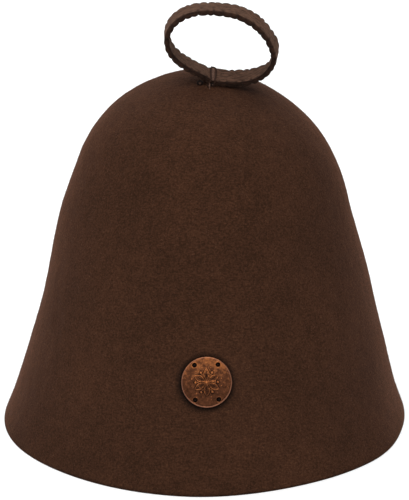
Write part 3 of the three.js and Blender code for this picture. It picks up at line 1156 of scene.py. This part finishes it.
def make_pulled_felt(material):
    """Felt that the stitches pull up: a ridge between the strands, two lumps and a small tongue."""
    bundle = Bundle()
    first, normal, second = knot_places()
    front = unit(np.cross(SIDEWAYS, normal))
    _, along, out, across = (v[0] for v in strap_frames(THREAD_ASIDE / LOOP_CURVE.length))
    for step in range(7):
        w = (step - 3) * 2.0 * MM
        centre = beside_strap(0, w, -STRAP_THICKNESS + 0.05 * MM)
        add_lump(bundle, centre, (along * 1.25 * MM, -out * 0.5 * MM, across * 1.5 * MM))
    for centre, size in ((first, 0.85), (second, 0.5)):
        add_lump(bundle, centre, (SIDEWAYS * size * MM, -front * size * MM, normal * size * MM))
    top = beside_strap(-1.5 * MM, STRAP_WIDTH / 2 + 0.5 * MM, -1.2 * MM)
    foot, up = felt_place(top[0], top[1] - 1.8 * MM)
    path = [top, (top + foot) / 2 + front * -0.35 * MM, foot, foot - up * 0.4 * MM]
    bundle.tube(path, (0.35 * MM, 0.5 * MM, 0.42 * MM, 0.2 * MM), 8)
    return bundle.make("pulled_felt", material)


# Badge

def badge_place():
    """Middle of the badge's back, and its own directions across, up and out of the felt."""
    share = find_share(HEIGHT_COLUMN, BADGE_HEIGHT)
    normal, rise = crown_frame(FRONT, share)
    normal, rise = normal[0], rise[0]
    side = np.cross(rise, normal)
    low, high = np.array(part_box("badge_disc"))
    centre = (low + high) / 2 - normal * (BADGE_THICKNESS + BADGE_RIM_RISE) / 2
    c, s = cos(BADGE_TURN), sin(BADGE_TURN)
    return centre, side * c + rise * s, rise * c - side * s, normal


def badge_holes():
    """Middles of the four sewing holes in the badge's plane."""
    x = sin(BADGE_HOLE_ANGLE) * BADGE_HOLE_CIRCLE / 2
    y = cos(BADGE_HOLE_ANGLE) * BADGE_HOLE_CIRCLE / 2
    return [(x * a, y * b) for a in (-1, 1) for b in (-1, 1)]


def on_line(distance, half):
    """1 on a line of the given half width and 0 beside it, with soft sides, in millimetres."""
    return 1 - smooth_step(np.abs(distance), half * 0.4, half * 1.5)


def between(value, low, high):
    """1 between two millimetre values and 0 past them, with soft ends."""
    soft = 0.3
    past = smooth_step(value, high - soft, high + soft)
    return smooth_step(value, low - soft, low + soft) * (1 - past)


def dome(x, y, radius):
    return np.sqrt(np.clip(1 - (x * x + y * y) / radius ** 2, 0, 1))


def leaf(across, along, lean):
    """A small pointed leaf that leans off its stem."""
    c, s = cos(lean), sin(lean)
    length = (along * c + across * s) / 0.85
    width = (across * c - along * s) / 0.36
    return smooth_step(1 - length ** 2 - width ** 2, -0.1, 0.5)


def turned_plane(x, y, turn):
    """Distances across and along a direction that is turned clockwise from straight up."""
    c, s = cos(turn), sin(turn)
    return x * c - y * s, x * s + y * c


def badge_relief(x, y):
    """The ornament's raised and engraved lines: a rosette of veined petals, sprigs and beads."""
    x, y = x / MM, y / MM
    reach = ROSETTE_RADIUS / MM
    inner = BEAD_DIAMETER / 2 / MM
    bead_circle = BEAD_CIRCLE / 2 / MM
    raised, cut = [np.zeros_like(x)], [np.zeros_like(x)]
    for k in range(ROSETTE_PETALS):
        turn = 2 * pi * k / ROSETTE_PETALS
        across, along = turned_plane(x, y, turn)
        share = np.clip((along - inner) / (reach - inner), 0, 1)
        half = PETAL_WIDTH / 2 / MM * 4 * share * (1 - share)
        inside = smooth_step(half - np.abs(across), 0, 0.25)
        body = between(along, inner + 0.2, reach - 0.3)
        raised.append(0.15 * inside)
        raised.append(body * on_line(np.abs(across) - half, 0.2))
        cut.append(body * on_line(np.abs(across) - half - 0.42, 0.16))
        cut.append(inside * on_line(across, 0.14) * between(along, 2.2, reach - 1.6))
        chevron = ((along - 1.2 * np.abs(across)) / 1.2) % 1 - 0.5
        veins = inside * on_line(chevron * 0.8, 0.1) * between(along, 2.6, reach - 1.4)
        cut.append(0.8 * veins)
        across, along = turned_plane(x, y, turn + pi / ROSETTE_PETALS)
        raised.append(0.8 * on_line(across, 0.15) * between(along, 2.9, bead_circle))
        for foot in (3.4, 4.7):
            for way in (-1, 1):
                shape = leaf(across - way * 0.75, along - foot - 0.5, way * 0.8)
                raised.append(0.9 * shape)
                cut.append(on_line(shape - 0.25, 0.12) * 0.7)
        raised.append(dome(across, along - bead_circle, inner))
        cut.append(on_line(np.hypot(across, along - bead_circle) - inner - 0.2, 0.14))
        for spread in (-0.24, 0.24):
            tip_x, tip_y = 9.3 * sin(spread), 9.3 * cos(spread)
            raised.append(0.8 * dome(across - tip_x, along - tip_y, 0.45))
    raised.append(dome(x, y, inner))
    for hole_x, hole_y in badge_holes():
        distance = np.hypot(x - hole_x / MM, y - hole_y / MM) - BADGE_HOLE / 2 / MM
        raised.append(0.35 * on_line(distance - 0.3, 0.3))
    return np.maximum.reduce(raised), np.maximum.reduce(cut)


def badge_profile():
    """Radius and height of the badge's plain turned shape, from its back's middle over its rim."""
    radius = badge_radius()
    top = BADGE_THICKNESS + BADGE_RIM_RISE
    profile = [(0.0, 0.0)]
    profile += [(r, 0.0) for r in np.linspace(0.2, 1, 8) * (radius - 0.45 * MM)]
    profile += [(radius - 0.13 * MM, 0.13 * MM), (radius, 0.45 * MM), (radius, top - 0.55 * MM)]
    bead = BADGE_RIM_WIDTH / 2
    for step in range(1, 9):
        angle = pi * step / 9
        across = radius - bead + bead * cos(angle)
        profile.append((across, top - 0.55 * MM + 0.55 * MM * sin(angle)))
    profile.append((radius - BADGE_RIM_WIDTH, BADGE_THICKNESS))
    return profile


def badge_radius():
    low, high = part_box("badge_disc")
    return (high[0] - low[0]) / 2


def make_badge(material):
    """The copper disc: turned rim, hammered face with the ornament, and four sewing holes."""
    sides, face_rings = BADGE_SIDES, BADGE_FACE_RINGS
    profile = badge_profile()
    face_radius = profile[-1][0]
    profile += [(face_radius * (1 - k / face_rings), BADGE_THICKNESS) for k in range(1, face_rings)]
    profile = np.array(profile[1:])
    angles = np.arange(sides) * 2 * pi / sides
    x = (profile[:, :1] * np.cos(angles)).ravel()
    y = (profile[:, :1] * np.sin(angles)).ravel()
    z = np.repeat(profile[:, 1], sides)
    on_face = np.repeat(np.arange(len(profile)) >= len(profile) - face_rings, sides)
    points = np.stack([x, y, np.zeros_like(x)], axis=1)
    hammered = HAMMER_HEIGHT * soft_noise(points, HAMMER_SIZE, 3)
    raised, cut = badge_relief(x, y)
    relief = raised * RELIEF_RISE - cut * ENGRAVING_DEPTH
    z = z + np.where(on_face, relief + hammered, 0)
    # The rim bead's top, where the material puts a pale painted highlight.
    rim = np.where(on_face, 0, smooth_step(z, 1.5 * MM, 1.85 * MM))
    worn = np.where(on_face, raised - cut * 2, 0)
    z_middle = BADGE_THICKNESS + RELIEF_RISE
    verts = np.concatenate([np.stack([x, y, z], axis=1), [(0, 0, 0), (0, 0, z_middle)]])
    piece = make_piece("copper_badge", verts, closed_faces(len(profile), sides), material)
    for name, values, middle in (("relief", worn, 1), ("rim", rim, 0)):
        attribute = piece.data.attributes.new(name, "FLOAT", "POINT")
        attribute.data.foreach_set("value", np.concatenate([values, [0, middle]]))
    drill_holes(piece)
    centre, side, rise, normal = badge_place()
    turn = Matrix((side, rise, normal)).transposed()
    piece.data.transform(Matrix.Translation(centre) @ turn.to_4x4())
    return piece


def drill_holes(piece):
    """Cut the four sewing holes, each with a flared mouth, through the badge."""
    cutters = Bundle()
    depth = 1.5 * (BADGE_THICKNESS + BADGE_RIM_RISE)
    top = depth * 1.2
    for x, y in badge_holes():
        verts = []
        for z, widening in ((-depth, 1.0), (BADGE_THICKNESS - 0.1 * MM, 1.0), (top, 1.5)):
            middle = np.array((x, y, z))
            verts += circle_points(middle, BADGE_HOLE / 2 * widening, SIDEWAYS, BACKWARD, HOLE_SIDES)
        cutters.add(verts + [(x, y, -depth), (x, y, top)], closed_faces(3, HOLE_SIDES))
    cutter = cutters.make("cutter", piece.data.materials[0])
    cut = piece.modifiers.new("cut", "BOOLEAN")
    cut.operation = "DIFFERENCE"
    cut.object = cutter
    cut.solver = "EXACT"
    apply_modifiers(piece)
    bpy.data.objects.remove(cutter)


def apply_modifiers(piece):
    graph = bpy.context.evaluated_depsgraph_get()
    mesh = bpy.data.meshes.new_from_object(piece.evaluated_get(graph))
    piece.modifiers.clear()
    piece.data = mesh


def make_badge_stitches(material):
    """The thread that shows down in each hole of the badge; its near-black colour is partly painted
    shade in the holes.
    """
    bundle = Bundle()
    centre, side, rise, normal = badge_place()
    dice = random.Random(3)
    for x, y in badge_holes():
        middle = centre + side * x + rise * y
        for strand in (-1, 1):
            turn = dice.uniform(0.3, 1.2)
            lie = side * cos(turn) + rise * sin(turn)
            aside = np.cross(normal, lie) * 0.34 * MM * strand
            path = []
            for t in np.linspace(-1, 1, 9):
                place = middle + aside + lie * t * 1.1 * MM
                path.append(place + normal * (0.75 - 0.9 * t * t) * MM)
            bundle.tube(path, 0.3 * MM, 6)
    return bundle.make("badge_stitches", material)


# Floor and light

def make_stage():
    m = Nodes("floor")
    m.set(Base_Color=(0.9, 0.9, 0.9, 1), Roughness=0.9)
    m.set(Emission_Color=(1, 1, 1, 1), Emission_Strength=FLOOR_GLOW)
    verts = [(x * FLOOR_HALF, y * FLOOR_HALF, 0) for x, y in ((-1, -1), (1, -1), (1, 1), (-1, 1))]
    floor = make_piece("floor", verts, [(0, 1, 2, 3)], m.material)


def make_light(name, place, target, size, power):
    data = bpy.data.lights.new(name, "AREA")
    data.shape = "SQUARE"
    data.size = size
    data.energy = power
    light = bpy.data.objects.new(name, data)
    bpy.context.scene.collection.objects.link(light)
    direction = Vector(target) - Vector(place)
    light.rotation_mode = "QUATERNION"
    light.rotation_quaternion = direction.to_track_quat("-Z", "Y")
    light.location = place


def make_lights():
    world = bpy.data.worlds.new("studio")
    bpy.context.scene.world = world
    world.use_nodes = True
    background = world.node_tree.nodes["Background"]
    background.inputs["Color"].default_value = (1, 1, 1, 1)
    background.inputs["Strength"].default_value = WORLD_STRENGTH
    for light in LIGHTS:
        make_light(*light)
    bpy.context.scene.view_settings.view_transform = "Standard"


def main():
    make_camera()
    pale = colour(178, 115, 80)
    brown = colour(39, 22, 12), colour(83, 52, 35)
    crown_felt = felt_material("crown_felt", *brown, 0.28, pale, badge=True)
    fuzz_wool = felt_material("fuzz_wool", colour(66, 46, 35), colour(122, 96, 80), 0.2, pale)
    strap_felt = strap_material()
    overcast = thread_material("overcast_thread", colour(24, 16, 12), colour(46, 32, 25))
    binding = thread_material("binding_thread", colour(26, 13, 7), colour(62, 35, 21))
    # Painted highlight: the pulled felt is coloured much lighter than the crown's felt.
    pulled = felt_material("pulled_felt", colour(75, 54, 45), colour(122, 94, 80), 0.2, pale)
    # Near-black thread: dark thread deepened with painted shade, for the knot and inside the badge's
    # holes.
    dark_thread_painted_shade = thread_material("dark_thread_painted_shade", colour(10, 5, 3), colour(30, 16, 10))

    crown = make_crown(crown_felt)
    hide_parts("crown")
    fuzz = make_crown_fuzz(fuzz_wool)
    loop = make_loop(strap_felt)
    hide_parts("loop_strap")
    stitches = make_overcast(overcast)
    thread = make_binding(binding)
    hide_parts("binding_thread")
    knot = make_knot(dark_thread_painted_shade)
    ridge = make_pulled_felt(pulled)
    badge = make_badge(copper_material())
    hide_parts("badge_disc")
    badge_thread = make_badge_stitches(dark_thread_painted_shade)
    for piece in (crown, fuzz, loop, stitches, thread, knot, ridge, badge, badge_thread):
        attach(piece, "root")

    make_stage()
    make_lights()


main()
